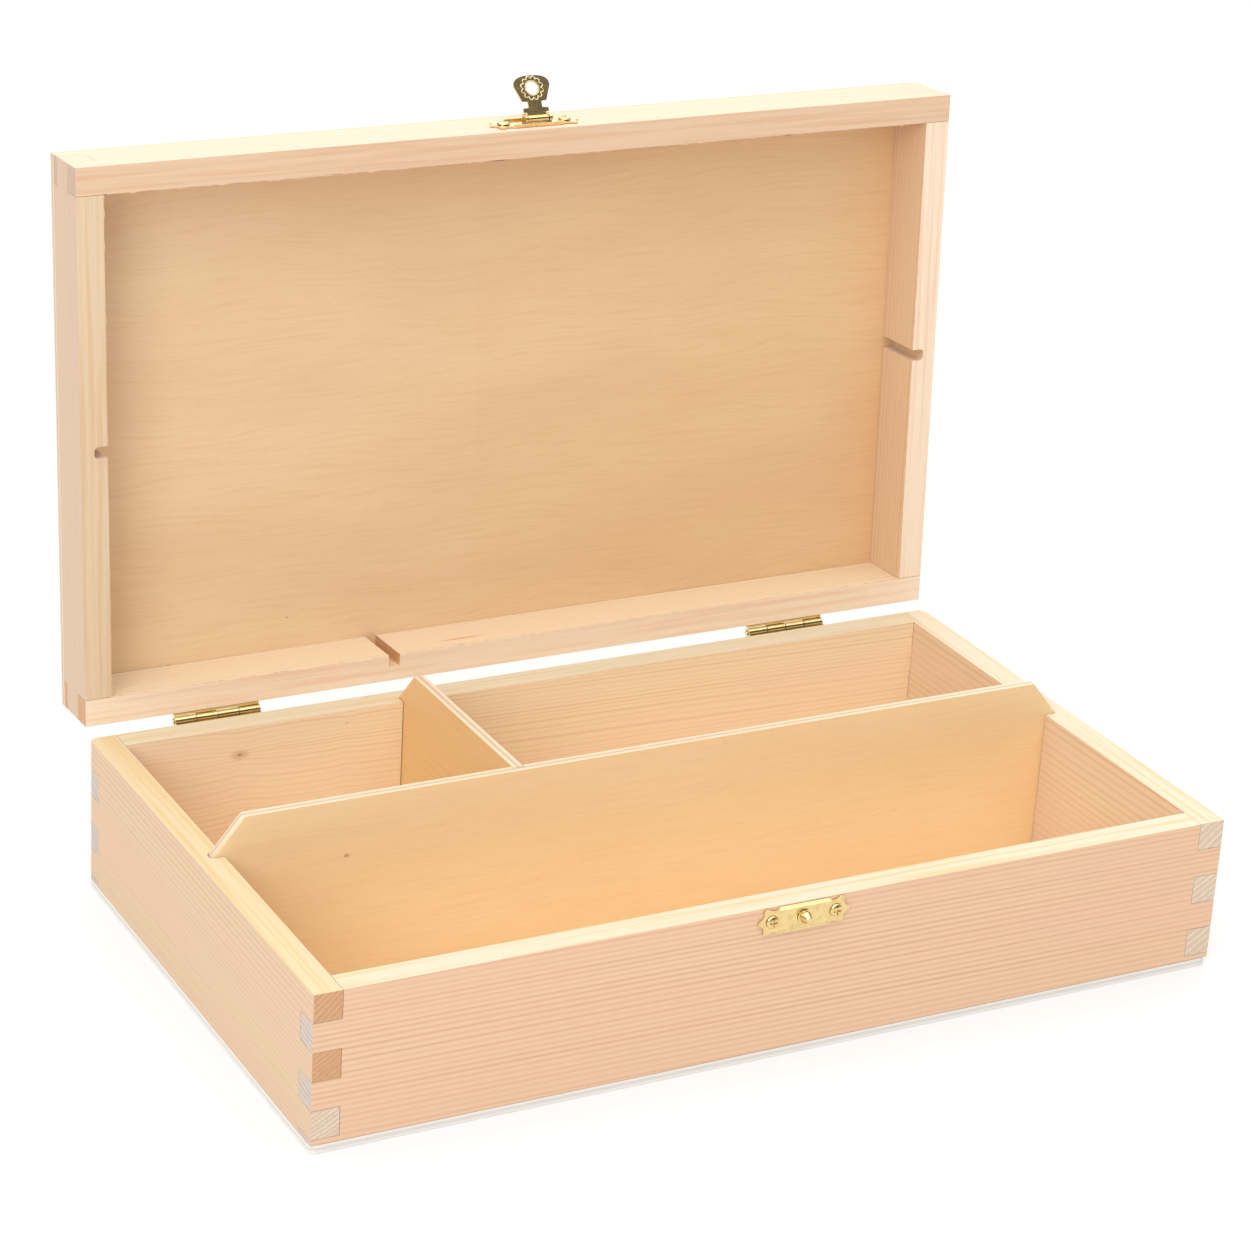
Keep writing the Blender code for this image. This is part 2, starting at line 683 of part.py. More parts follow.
def add_flap():
    outlines = [flap_outline(), circle(FLAP_HOLE_RADIUS, FINE_SIDES, (0, -FLAP_HOLE))]
    mesh = outline_mesh("hasp_flap", outlines, FLAP_THICKNESS, UPRIGHT_XZ)
    sheet = add_piece("hasp_flap", mesh, "brass", FLAP_AXIS, flap)
    curl = rod_mesh("flap_curl", CURL_RADIUS, CURL_WIDTH, FINE_SIDES, TO_RIGHT)
    boolean(sheet, add_tool("flap_curl", curl, FLAP_AXIS, flap), "UNION")
    length = CURL_WIDTH + 2 * MARGIN
    drill(sheet, "flap_bore", CURL_BORE_RADIUS, length, COARSE_SIDES, TO_RIGHT, FLAP_AXIS, flap)


def add_joint(name, axis_point, angle, frame):
    """An empty on a joint's axis along X, turned by the angle, and the frame that it makes."""
    empty = bpy.data.objects.new(name, None)
    parts.objects.link(empty)
    empty.empty_display_size = WALL
    place(empty, axis_point, frame)
    empty.rotation_euler.x = angle
    return empty, axis_point


clear_scene()
parts = new_collection("wooden_toy_box")
cutters = new_collection("cutters")
base = (None, Vector())
lid = add_joint("lid_hinge_axis", LID_AXIS, -LID_OPEN, base)
flap = add_joint("hasp_flap_axis", FLAP_AXIS, -FLAP_OPEN, lid)

base_walls = add_walls("base", 0, BASE_WALL_HEIGHT, WALL_BOTTOM, base)
lid_walls = add_walls("lid", LID_CUT, LID_CUT + LID_WALL_HEIGHT, LID_RIM - LID_CUT, lid)
add_panels()
add_dividers()
for hinge_side in HINGE_XS:
    add_hinge(hinge_side, base_walls, lid_walls)
add_catch(base_walls["front"])
add_hasp(lid_walls["front"])
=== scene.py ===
import json
import math
import random

import bmesh
import bpy
from mathutils import Matrix, Vector


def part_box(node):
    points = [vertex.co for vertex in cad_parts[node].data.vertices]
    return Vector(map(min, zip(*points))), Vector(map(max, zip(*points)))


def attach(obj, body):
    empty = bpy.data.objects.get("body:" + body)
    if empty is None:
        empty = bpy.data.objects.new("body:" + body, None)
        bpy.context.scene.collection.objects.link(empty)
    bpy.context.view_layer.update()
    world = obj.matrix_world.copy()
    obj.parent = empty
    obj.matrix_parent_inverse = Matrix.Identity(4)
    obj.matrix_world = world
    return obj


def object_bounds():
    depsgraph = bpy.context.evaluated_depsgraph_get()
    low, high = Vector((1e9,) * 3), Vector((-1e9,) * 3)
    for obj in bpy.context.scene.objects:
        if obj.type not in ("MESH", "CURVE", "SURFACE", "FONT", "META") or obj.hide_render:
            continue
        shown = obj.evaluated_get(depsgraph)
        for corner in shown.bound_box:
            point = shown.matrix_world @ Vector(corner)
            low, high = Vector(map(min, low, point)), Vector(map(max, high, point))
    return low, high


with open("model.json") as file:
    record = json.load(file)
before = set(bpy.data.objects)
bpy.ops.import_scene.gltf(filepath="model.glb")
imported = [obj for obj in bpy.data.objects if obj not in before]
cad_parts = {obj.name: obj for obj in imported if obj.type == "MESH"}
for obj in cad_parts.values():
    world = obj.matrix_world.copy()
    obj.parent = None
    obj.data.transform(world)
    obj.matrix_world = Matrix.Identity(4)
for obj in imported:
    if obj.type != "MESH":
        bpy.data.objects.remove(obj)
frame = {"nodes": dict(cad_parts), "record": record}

cad_low, cad_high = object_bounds()

MM = 0.001
NODES = frame["nodes"]
RECORD = frame["record"]
JOINTS = {joint["name"]: joint for joint in RECORD["behaviour"]["joints"]}
SLOTS = {row["node"]: row["material_slot"] for row in RECORD["subparts"]}

# The lid's pieces stand open; this turns them back to the closed box, where their grain is laid out
LID_AXIS = Vector(JOINTS["lid_hinge"]["pos_m"])
LID_SHUT = math.radians(JOINTS["lid_hinge"]["range_deg"][1])
SHUT = (
    Matrix.Translation(LID_AXIS) @ Matrix.Rotation(LID_SHUT, 4, "X") @ Matrix.Translation(-LID_AXIS)
)
OPENED = SHUT.inverted()
FLAP_AXIS = SHUT @ Vector(JOINTS["hasp_hinge"]["pos_m"])
FLAP_SHUT = math.radians(JOINTS["hasp_hinge"]["range_deg"][1])
FLAP_OPENED = (
    OPENED @ Matrix.Translation(FLAP_AXIS) @ Matrix.Rotation(-FLAP_SHUT, 4, "X")
    @ Matrix.Translation(-FLAP_AXIS)
)


class Graph:
    """A material's nodes. Each call adds a node and gives its output."""

    def __init__(self, name):
        self.material = bpy.data.materials.new(name)
        self.material.use_nodes = True
        self.tree = self.material.node_tree
        self.tree.nodes.clear()
        self.shader = self.tree.nodes.new("ShaderNodeBsdfPrincipled")
        output = self.tree.nodes.new("ShaderNodeOutputMaterial")
        self.tree.links.new(self.shader.outputs[0], output.inputs["Surface"])

    def put(self, socket, value):
        if isinstance(value, bpy.types.NodeSocket):
            self.tree.links.new(value, socket)
        else:
            socket.default_value = value

    def add(self, kind, inputs, output=0, **settings):
        node = self.tree.nodes.new("ShaderNode" + kind)
        for key, value in settings.items():
            setattr(node, key, value)
        for key, value in inputs.items():
            self.put(node.inputs[key], value)
        return node.outputs[output]

    def math(self, operation, *values):
        return self.add("Math", dict(enumerate(values)), operation=operation)

    def span(self, value, low, high, to_low=0.0, to_high=1.0, smooth=True):
        """The value's place between low and high, held at both ends."""
        inputs = {0: value, 1: low, 2: high, 3: to_low, 4: to_high}
        return self.add("MapRange", inputs, interpolation_type="SMOOTHSTEP" if smooth else "LINEAR")

    def vector(self, x, y, z=0.0):
        return self.add("CombineXYZ", {0: x, 1: y, 2: z})

    def noise(self, vector, scale=1.0, detail=2.0, roughness=0.5, distortion=0.0):
        inputs = {
            "Vector": vector, "Scale": scale, "Detail": detail,
            "Roughness": roughness, "Distortion": distortion,
        }
        return self.add("TexNoise", inputs)

    def random(self, value):
        return self.add("TexWhiteNoise", {"W": value}, noise_dimensions="1D")

    def mix(self, factor, first, second, blend="MIX"):
        node = self.tree.nodes.new("ShaderNodeMix")
        node.data_type = "RGBA"
        node.blend_type = blend
        for index, value in ((0, factor), (6, first), (7, second)):
            if isinstance(value, tuple):
                value = (*value, 1.0)
            self.put(node.inputs[index], value)
        return node.outputs[2]

    def ramp(self, value, stops):
        """Grey levels along a value from 0 to 1."""
        node = self.tree.nodes.new("ShaderNodeValToRGB")
        elements = node.color_ramp.elements
        while len(elements) < len(stops):
            elements.new(0.5)
        for element, (place, level) in zip(elements, stops):
            element.position = place
            element.color = (level, level, level, 1)
        self.put(node.inputs[0], value)
        return node.outputs[0]

    def bump(self, height, distance, strength=1.0):
        inputs = {"Height": height, "Distance": distance, "Strength": strength}
        self.put(self.shader.inputs["Normal"], self.add("Bump", inputs))


def closed_space(graph, in_lid):
    """A piece's place in mm and its normal in the closed box."""
    coordinates = graph.tree.nodes.new("ShaderNodeTexCoord")
    turn = SHUT if in_lid else Matrix.Identity(4)
    rotation = tuple(turn.to_euler())
    place = graph.add("Mapping", {
        "Vector": coordinates.outputs["Object"], "Scale": (1 / MM,) * 3,
        "Rotation": rotation, "Location": tuple(turn.translation / MM),
    })
    normal = graph.add(
        "Mapping", {"Vector": coordinates.outputs["Normal"], "Rotation": rotation}, vector_type="VECTOR"
    )
    return graph.add("SeparateXYZ", {0: place}), graph.add("SeparateXYZ", {0: normal})


def outputs(socket):
    return socket.node.outputs


EARLY = (0.775, 0.505, 0.330)
LATE = (0.60, 0.285, 0.175)
YELLOW = (0.78, 0.565, 0.33)
RIM_YELLOW = ((0.68, 0.54, 0.34), (0.66, 0.48, 0.24))
RIM_CREAM = ((0.68, 0.59, 0.44), (0.66, 0.50, 0.28))
RIM_PALE = ((0.92, 0.75, 0.57), (0.88, 0.64, 0.45))
RIM_TAN = ((0.74, 0.57, 0.39), (0.70, 0.49, 0.285))
RIM_PINK = ((0.76, 0.54, 0.365), (0.72, 0.46, 0.285))
TAN_END = ((0.66, 0.36, 0.185), (0.72, 0.45, 0.26))
PALE_END = ((0.74, 0.58, 0.43), (0.86, 0.73, 0.59))
ROSY_END = ((0.60, 0.43, 0.33), (0.68, 0.52, 0.41))
GREY_END = ((0.70, 0.60, 0.51), (0.50, 0.43, 0.42))
DRY = (0.8, 0.74, 0.68)
KNOT_HALO, KNOT_CORE = (0.52, 0.27, 0.14), (0.26, 0.17, 0.12)
RESIN = (0.70, 0.33, 0.17)
# How much late wood there is across one growth ring, seen along the board and on its end
LATE_WOOD = ((0, 0.05), (0.45, 0.0), (0.72, 1.0), (0.84, 0.9), (1.0, 0.05))
END_LATE_WOOD = ((0, 0.0), (0.35, 0.1), (0.6, 1.0), (0.75, 0.9), (0.9, 0.0))


def pine(
    name, in_lid, grain, pith, ring=2.0, slope=0.0, seed=0.0, contrast=1.0, tint=(1, 1, 1),
    edge=RIM_CREAM, end=TAN_END, sapwood=None, warp=1.0, knots=(), pockets=(),
):
    """Bare sanded pine: growth rings round a pith line that runs along the grain, outside the board.

    grain is "X" or "Y"; pith is where its line crosses the other upright plane, in mm as (side, up). Below
    the height sapwood, the end grain is pale. A knot is (along, up, how far the grain swerves round it,
    height), and a pocket is (along, up, half length, half height), in mm.
    """
    g = Graph(name)
    place, normal = closed_space(g, in_lid)
    x, y, z = outputs(place)
    nx, ny, nz = outputs(normal)
    along, side, end_facing = (x, y, nx) if grain == "X" else (y, x, ny)

    # How far the point is from the pith, with the trunk's slow waves
    waves = g.noise(
        g.vector(g.math("MULTIPLY", along, 0.012), g.math("MULTIPLY", side, 0.05), z), 0.035, 1.0
    )
    ripples = g.noise(
        g.vector(g.math("MULTIPLY_ADD", along, 0.03, seed), g.math("MULTIPLY", side, 0.3), z), 0.28, 1.0
    )
    up = g.math("MULTIPLY_ADD", along, slope, z)
    offset_side = g.math("SUBTRACT", side, pith[0])
    offset_up = g.math("SUBTRACT", up, pith[1])
    for knot_along, knot_up, reach, height in knots:
        near = g.math("SUBTRACT", along, knot_along)
        level = g.math("SUBTRACT", z, knot_up)
        spread = g.math("DIVIDE", g.math("MULTIPLY", near, near), reach * reach)
        falloff = g.math("DIVIDE", 1.0, g.math("ADD", 1.0, spread))
        swerve = g.math("MULTIPLY", g.math("MULTIPLY", falloff, height), g.math("SIGN", level))
        offset_up = g.math("ADD", offset_up, swerve)
    distance = g.add("VectorMath", {0: g.vector(offset_side, offset_up)}, "Value", operation="LENGTH")
    distance = g.math("MULTIPLY_ADD", waves, 6.0 * warp, distance)
    distance = g.math("MULTIPLY_ADD", ripples, 0.7 * warp, distance)
    rings = g.math("MULTIPLY_ADD", distance, 1 / ring, seed)
    phase = g.math("FRACT", rings)
    number = g.math("FLOOR", rings)
    strength = g.span(g.random(number), 0.0, 1.0, 0.45, 1.15, smooth=False)
    late = g.math("MULTIPLY", g.ramp(phase, LATE_WOOD), strength)

    # Fibres, and patches of warmer and yellower wood
    fibre = g.noise(
        g.vector(g.math("MULTIPLY", along, 0.05), g.math("MULTIPLY", side, 1.6), g.math("MULTIPLY", z, 1.6)),
        2.2, 3.0, 0.65,
    )
    patch = g.noise(g.vector(g.math("MULTIPLY_ADD", along, 0.12, seed), side, z), 0.045, 2.0)
    late = g.math("MULTIPLY", late, g.span(fibre, 0.25, 0.7, 0.6, 1.1))
    late = g.math("MULTIPLY", late, g.span(patch, 0.3, 0.7, 0.6 * contrast, 1.05 * contrast))
    early = g.mix(g.span(patch, 0.35, 0.7), EARLY, YELLOW)
    early = g.mix(0.55, early, EARLY)
    wood = g.mix(1.0, g.mix(late, early, LATE), tint, "MULTIPLY")

    # The top and bottom edges are cut along the rings, so they show pale, broad bands
    on_edge = g.span(g.math("ABSOLUTE", nz), 0.55, 0.85)
    bands = g.noise(
        g.vector(g.math("MULTIPLY_ADD", along, 0.02, seed), g.math("MULTIPLY", side, 0.9), 0.0),
        0.55, 2.0, 0.6,
    )
    edge_wood = g.mix(g.span(bands, 0.42, 0.68), edge[0], edge[1])
    wood = g.mix(on_edge, wood, edge_wood)

    # Sawn end grain: darker, open and dry, with the rings' paler late wood across it
    speckle = g.noise(g.vector(side, z, g.math("MULTIPLY", along, 0.3)), 2.6, 3.0, 0.8)
    end_late = g.math("MULTIPLY", g.ramp(phase, END_LATE_WOOD), strength)
    end_wood = g.mix(end_late, end[0], end[1])
    if sapwood:
        end_wood = g.mix(g.span(z, sapwood - 2, sapwood + 2), g.mix(end_late, *PALE_END), end_wood)
    dry_wood = g.mix(1.0, end_wood, DRY, "MULTIPLY")
    end_wood = g.mix(g.span(speckle, 0.35, 0.75), end_wood, dry_wood)
    on_end = g.span(g.math("ABSOLUTE", end_facing), 0.6, 0.85)
    wood = g.mix(on_end, wood, end_wood)

    # A knot is dark in the middle, in a warm ring
    for knot_along, knot_up, reach, height in knots:
        near = g.vector(
            g.math("MULTIPLY", g.math("SUBTRACT", along, knot_along), 0.55), g.math("SUBTRACT", z, knot_up)
        )
        wobble = g.math("MULTIPLY", g.noise(g.vector(along, z), 0.9, 2.0), 1.2)
        radius = g.math("ADD", g.add("VectorMath", {0: near}, "Value", operation="LENGTH"), wobble)
        halo = g.span(radius, height * 0.8, height * 2.2, 1.0, 0.0)
        core = g.span(radius, height * 0.35, height * 0.9, 1.0, 0.0)
        wood = g.mix(g.math("MULTIPLY", halo, 0.45), wood, KNOT_HALO)
        wood = g.mix(g.math("MULTIPLY", core, 0.8), wood, KNOT_CORE)

    # A resin pocket is a thin reddish lens between two rings
    for pocket_along, pocket_up, half_length, half_height in pockets:
        near = g.vector(
            g.math("DIVIDE", g.math("SUBTRACT", along, pocket_along), half_length),
            g.math("DIVIDE", g.math("SUBTRACT", z, pocket_up), half_height),
        )
        radius = g.add("VectorMath", {0: near}, "Value", operation="LENGTH")
        radius = g.math("MULTIPLY_ADD", ripples, 0.5, radius)
        wood = g.mix(g.span(radius, 0.6, 1.2, 0.8, 0.0), wood, RESIN)

    tone = g.span(fibre, 0.2, 0.8, 0.955, 1.03)
    wood = g.mix(1.0, wood, g.vector(tone, tone, tone), "MULTIPLY")
    g.put(g.shader.inputs["Base Color"], wood)
    g.put(g.shader.inputs["Roughness"], g.span(late, 0.0, 1.0, 0.62, 0.5))
    g.shader.inputs["Specular IOR Level"].default_value = 0.35
    relief = g.math("MULTIPLY_ADD", fibre, 0.6, g.math("MULTIPLY", late, 0.4))
    relief = g.math("ADD", relief, g.math("MULTIPLY", g.math("MULTIPLY", speckle, on_end), 1.5))
    g.bump(relief, 0.00006)
    return g.material


PORES = (0.93, 0.86, 0.79)
BESIDE_SEAM = (0.993, 0.985, 0.97)
WARMER_RIGHT = (0.97, 0.91, 0.83)
STREAKED = (0.84, 0.76, 0.68)
PIN_KNOT = (0.42, 0.24, 0.12)
PANEL_HALF_LENGTH = 165.0


def plywood(
    name, in_lid, thin, grain, veneer, middle, ply_edges, ply_colours, seed=0.0, seam=None, spots=(),
):
    """Smooth veneered ply, with its figures in mm.

    thin is the axis through its thickness, and middle its place on that axis. ply_edges are the glue lines'
    distances from the middle. Each spot is (along, across, size).
    """
    g = Graph(name)
    place, normal = closed_space(g, in_lid)
    axes = dict(zip("XYZ", zip(outputs(place), outputs(normal))))
    depth, facing = axes[thin]
    along = axes[grain][0]
    across = axes[next(axis for axis in "XYZ" if axis not in (thin, grain))][0]

    # The peeled veneer's thin wandering growth lines, soft patches and fine pores
    wander = g.noise(g.vector(g.math("MULTIPLY_ADD", along, 0.35, seed), across, seed), 0.035, 2.0)
    line_across = g.math("MULTIPLY_ADD", wander, 16.0, across)
    lines = g.noise(g.vector(g.math("MULTIPLY", along, 0.04), line_across, seed), 0.75, 2.0, 0.6)
    figure = g.noise(g.vector(g.math("MULTIPLY_ADD", along, 0.3, seed), across, seed), 0.03, 2.0)
    fine = g.noise(
        g.vector(g.math("MULTIPLY", along, 0.22), g.math("MULTIPLY", across, 2.2), seed), 1.1, 3.0, 0.8
    )
    face = g.mix(g.span(figure, 0.25, 0.75, 0.2, 0.8), veneer[0], veneer[1])
    face = g.mix(g.math("MULTIPLY", g.span(lines, 0.4, 0.75), 0.32), face, veneer[2])
    face = g.mix(g.span(fine, 0.42, 0.72, 0.0, 0.42), face, g.mix(1.0, face, PORES, "MULTIPLY"))
    if seam is not None:
        beside = g.span(along, seam - 0.3, seam + 0.3)
        face = g.mix(beside, face, g.mix(1.0, face, BESIDE_SEAM, "MULTIPLY"))
        to_right = g.span(along, -PANEL_HALF_LENGTH, PANEL_HALF_LENGTH)
        face = g.mix(to_right, face, g.mix(1.0, face, WARMER_RIGHT, "MULTIPLY"))

    # On an edge, each ply is long grain or end grain in turn
    level = g.math("ABSOLUTE", g.math("SUBTRACT", depth, middle))
    streak = g.noise(
        g.vector(
            g.math("MULTIPLY", along, 0.12), g.math("MULTIPLY", across, 0.12), g.math("MULTIPLY", depth, 6.0)
        ),
        1.0, 3.0, 0.7,
    )
    level = g.math("MULTIPLY_ADD", g.math("SUBTRACT", streak, 0.5), 0.25, level)
    plies = ply_colours[0]
    for edge_level, colour in zip(ply_edges, ply_colours[1:]):
        plies = g.mix(g.span(level, edge_level - 0.08, edge_level + 0.08), plies, colour)
    streaked = g.mix(1.0, plies, STREAKED, "MULTIPLY")
    plies = g.mix(g.span(streak, 0.45, 0.8, 0.0, 0.6), plies, streaked)
    on_face = g.span(g.math("ABSOLUTE", facing), 0.55, 0.85)
    wood = g.mix(on_face, plies, face)
    for spot_along, spot_across, spot_size in spots:
        near = g.vector(
            g.math("MULTIPLY", g.math("SUBTRACT", along, spot_along), 0.6),
            g.math("SUBTRACT", across, spot_across),
        )
        radius = g.add("VectorMath", {0: near}, "Value", operation="LENGTH")
        mark = g.span(radius, spot_size * 0.4, spot_size, 0.7, 0.0)
        wood = g.mix(g.math("MULTIPLY", mark, on_face), wood, PIN_KNOT)
    g.put(g.shader.inputs["Base Color"], wood)
    g.put(g.shader.inputs["Roughness"], g.span(figure, 0.3, 0.7, 0.5, 0.6))
    g.shader.inputs["Specular IOR Level"].default_value = 0.35
    g.bump(g.math("MULTIPLY_ADD", fine, 0.5, g.math("MULTIPLY", streak, 0.5)), 0.00004)
    return g.material


BRIGHT, BRIGHT_ROUGHNESS = (0.83, 0.64, 0.31), 0.13
RUBBED, RUBBED_ROUGHNESS = (0.95, 0.84, 0.56), 0.08
SMUDGED, PITTED = (0.86, 0.80, 0.70), (0.45, 0.30, 0.12)


def brass(name, colour, roughness):
    """Bright stamped brass plate, with faint rolling marks, smudges and tiny pits."""
    g = Graph(name)
    coordinates = g.tree.nodes.new("ShaderNodeTexCoord").outputs["Object"]
    place = g.add("Mapping", {"Vector": coordinates, "Scale": (1 / MM,) * 3})
    smudge = g.noise(place, 0.35, 3.0, 0.6)
    stretched = g.add("VectorMath", {0: place, 1: (0.25, 4.0, 4.0)}, operation="MULTIPLY")
    rolled = g.noise(stretched, 1.2, 2.0, 0.6)
    pits = g.noise(place, 3.5, 1.0)
    dull = g.mix(1.0, colour, SMUDGED, "MULTIPLY")
    metal = g.mix(g.span(smudge, 0.35, 0.75), colour, dull)
    metal = g.mix(g.span(pits, 0.68, 0.8, 0.0, 0.35), metal, PITTED)
    g.put(g.shader.inputs["Base Color"], metal)
    smudged = g.span(smudge, 0.3, 0.75, roughness * 0.8, roughness * 1.35)
    rough = g.math("ADD", smudged, g.span(rolled, 0.3, 0.8, 0.0, 0.05))
    g.put(g.shader.inputs["Roughness"], rough)
    g.shader.inputs["Metallic"].default_value = 1.0
    g.bump(g.math("MULTIPLY_ADD", rolled, 0.5, smudge), 0.00003)
    return g.material


def node_group(name):
    group = bpy.data.node_groups.new(name, "GeometryNodeTree")
    group.interface.new_socket("Geometry", in_out="INPUT", socket_type="NodeSocketGeometry")
    group.interface.new_socket("Geometry", in_out="OUTPUT", socket_type="NodeSocketGeometry")
    return group


def chain(group, nodes):
    """Links nodes one after another from the group's input to its output, by their geometry."""
    previous = group.nodes.new("NodeGroupInput").outputs[0]
    for node in nodes:
        group.links.new(previous, next(s for s in node.inputs if s.type == "GEOMETRY"))
        previous = node.outputs[0]
    group.links.new(previous, group.nodes.new("NodeGroupOutput").inputs[0])


WELD = 0.000002
SMOOTH_ANGLE = math.radians(32)
FLAT_ANGLE = math.radians(0.5)
ROUNDED_ANGLE = math.radians(40)
WOOD_EDGE, PLATE_EDGE, FITTING_EDGE = 0.00006, 0.0002, 0.00008


def welding_group():
    """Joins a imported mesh's split corners, and drops the flat normals that came with them."""
    group = node_group("weld")
    drop = group.nodes.new("GeometryNodeRemoveAttribute")
    drop.inputs["Name"].default_value = "custom_normal"
    merge = group.nodes.new("GeometryNodeMergeByDistance")
    merge.inputs["Distance"].default_value = WELD
    chain(group, [drop, merge])
    return group


def smoothing_group():
    """Shades smooth across shallow edges, and keeps the sharp ones."""
    group = node_group("smooth")
    faces = group.nodes.new("GeometryNodeSetShadeSmooth")
    soft = group.nodes.new("GeometryNodeSetShadeSmooth")
    soft.domain = "EDGE"
    sharp = group.nodes.new("GeometryNodeSetShadeSmooth")
    sharp.domain = "EDGE"
    sharp.inputs["Shade Smooth"].default_value = False
    angle = group.nodes.new("GeometryNodeInputMeshEdgeAngle")
    compare = group.nodes.new("FunctionNodeCompare")
    compare.data_type = "FLOAT"
    compare.operation = "GREATER_THAN"
    compare.inputs["B"].default_value = SMOOTH_ANGLE
    group.links.new(angle.outputs["Unsigned Angle"], compare.inputs["A"])
    group.links.new(compare.outputs[0], sharp.inputs["Selection"])
    chain(group, [faces, soft, sharp])
    return group


WELDING = welding_group()
SMOOTHING = smoothing_group()


def soften(obj, width, segments):
    """Real pieces have no knife edges: a small round on every sharp edge."""
    obj.modifiers.new("weld", "NODES").node_group = WELDING
    merge = obj.modifiers.new("faces", "DECIMATE")
    merge.decimate_type = "DISSOLVE"
    merge.angle_limit = FLAT_ANGLE
    bevel = obj.modifiers.new("edges", "BEVEL")
    bevel.width = width
    bevel.segments = segments
    bevel.limit_method = "ANGLE"
    bevel.angle_limit = ROUNDED_ANGLE
    bevel.use_clamp_overlap = True
    obj.modifiers.new("smooth", "NODES").node_group = SMOOTHING
    flat = obj.modifiers.new("flat", "WEIGHTED_NORMAL")
    flat.keep_sharp = True
    flat.weight = 100


def dress(node, material, width=WOOD_EDGE, segments=2):
    obj = NODES[node]
    obj.data.materials.clear()
    obj.data.materials.append(material)
    soften(obj, width, segments)


# Pine walls
FRONT_PITH = (-50.0, -90.0)
pines = {
    "base_front_wall": dict(
        grain="X", pith=(-60.0, -230.0), slope=0.012, seed=1.3, warp=0.5, contrast=0.7, end=GREY_END,
        tint=(1.05, 1.05, 1.06),
    ),
    "base_back_wall": dict(
        grain="X", pith=(150.0, -120.0), slope=0.02, seed=7.9, ring=1.8, contrast=0.42, warp=2.2,
        end=GREY_END, tint=(1.2, 1.47, 1.62), knots=((-121.0, 47.0, 9.0, 1.5), (-79.0, 53.0, 4.0, 0.6)),
    ),
    "base_left_wall": dict(
        grain="Y", pith=(-260.0, 160.0), slope=-0.01, seed=3.1, ring=1.7, contrast=0.5, sapwood=20.0,
        edge=RIM_YELLOW, tint=(0.95, 1.03, 1.05),
    ),
    "base_right_wall": dict(
        grain="Y", pith=(60.0, 190.0), slope=0.015, seed=5.7, ring=2.4, contrast=0.45, end=PALE_END,
        tint=(1.0, 1.18, 1.3),
    ),
    "lid_front_wall": dict(
        grain="X", pith=FRONT_PITH, slope=-0.008, seed=11.1, contrast=0.4, ring=1.8, edge=RIM_PINK,
        end=ROSY_END, tint=(1.04, 1.14, 1.30),
    ),
    "lid_back_wall": dict(
        grain="X", pith=(160.0, 240.0), slope=0.01, seed=13.7, contrast=0.5, ring=2.2, edge=RIM_PALE,
        pockets=((-24.0, 64.6, 13.0, 1.2),), tint=(1.03, 1.22, 1.30),
    ),
    "lid_left_wall": dict(
        grain="Y", pith=(-230.0, 190.0), slope=0.01, seed=17.3, contrast=0.4, ring=1.6, edge=RIM_TAN,
        end=PALE_END, tint=(0.88, 0.97, 1.07),
    ),
    "lid_right_wall": dict(
        grain="Y", pith=(230.0, 200.0), slope=-0.01, seed=19.9, contrast=0.5, ring=1.9, edge=RIM_PALE,
        end=PALE_END, tint=(0.98, 1.08, 1.12),
    ),
}
for node, look in pines.items():
    dress(node, pine(node + "_pine", node.startswith("lid"), **look))

# Plywood
VENEER = ((0.77, 0.535, 0.32), (0.84, 0.635, 0.395), (0.70, 0.455, 0.24))
ORANGE = ((0.87, 0.66, 0.375), (0.905, 0.72, 0.435), (0.815, 0.57, 0.31))
TAWNY = ((0.80, 0.54, 0.25), (0.84, 0.595, 0.30), (0.73, 0.45, 0.19))
PALE_PLY, BROWN_PLY = (0.78, 0.64, 0.48), (0.60, 0.44, 0.31)
BOTTOM_PLIES = ((0.74, 0.69, 0.63), (0.84, 0.81, 0.77))
PANEL_GLUE_LINE, GLUE_LINE = 0.5, 0.6
BOTTOM_PANEL_MIDDLE = 1.5
lid_panel_low, lid_panel_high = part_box("lid_panel")
LID_PANEL_MIDDLE = (SHUT @ ((lid_panel_low + lid_panel_high) / 2)).z / MM
cross_divider_low, cross_divider_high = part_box("cross_divider")
CROSS_DIVIDER_MIDDLE = (cross_divider_low.x + cross_divider_high.x) / 2 / MM
dress("lid_panel", plywood(
    "lid_panel_ply", True, "Z", "X", VENEER, LID_PANEL_MIDDLE,
    (PANEL_GLUE_LINE,), (BROWN_PLY, PALE_PLY), seam=-12.0, spots=((-135.0, 92.0, 0.5), (-88.0, 80.0, 0.45)),
))
dress("base_bottom_panel", plywood(
    "base_bottom_panel_ply", False, "Z", "X", VENEER, BOTTOM_PANEL_MIDDLE,
    (GLUE_LINE,), BOTTOM_PLIES,
))
dress("long_divider", plywood(
    "long_divider_ply", False, "Y", "X", ORANGE, 0.0,
    (GLUE_LINE,), (BROWN_PLY, PALE_PLY), spots=((-120.0, 50.0, 0.9),),
))
dress("cross_divider", plywood(
    "cross_divider_ply", False, "X", "Y", TAWNY, CROSS_DIVIDER_MIDDLE,
    (GLUE_LINE,), (BROWN_PLY, PALE_PLY), seed=4.0,
))

# The catch plate's lips: how far from its middle they start, how proud they stand, and how steeply the upper
# one slopes back. The lower one keeps only a trace of its height.
LIP_START, LIP_RISE, LIP_SLOPE = 0.0041, 0.0007, 1.3
LIP_FLATTENED = 0.93
LIP_TOLERANCE = 0.0001


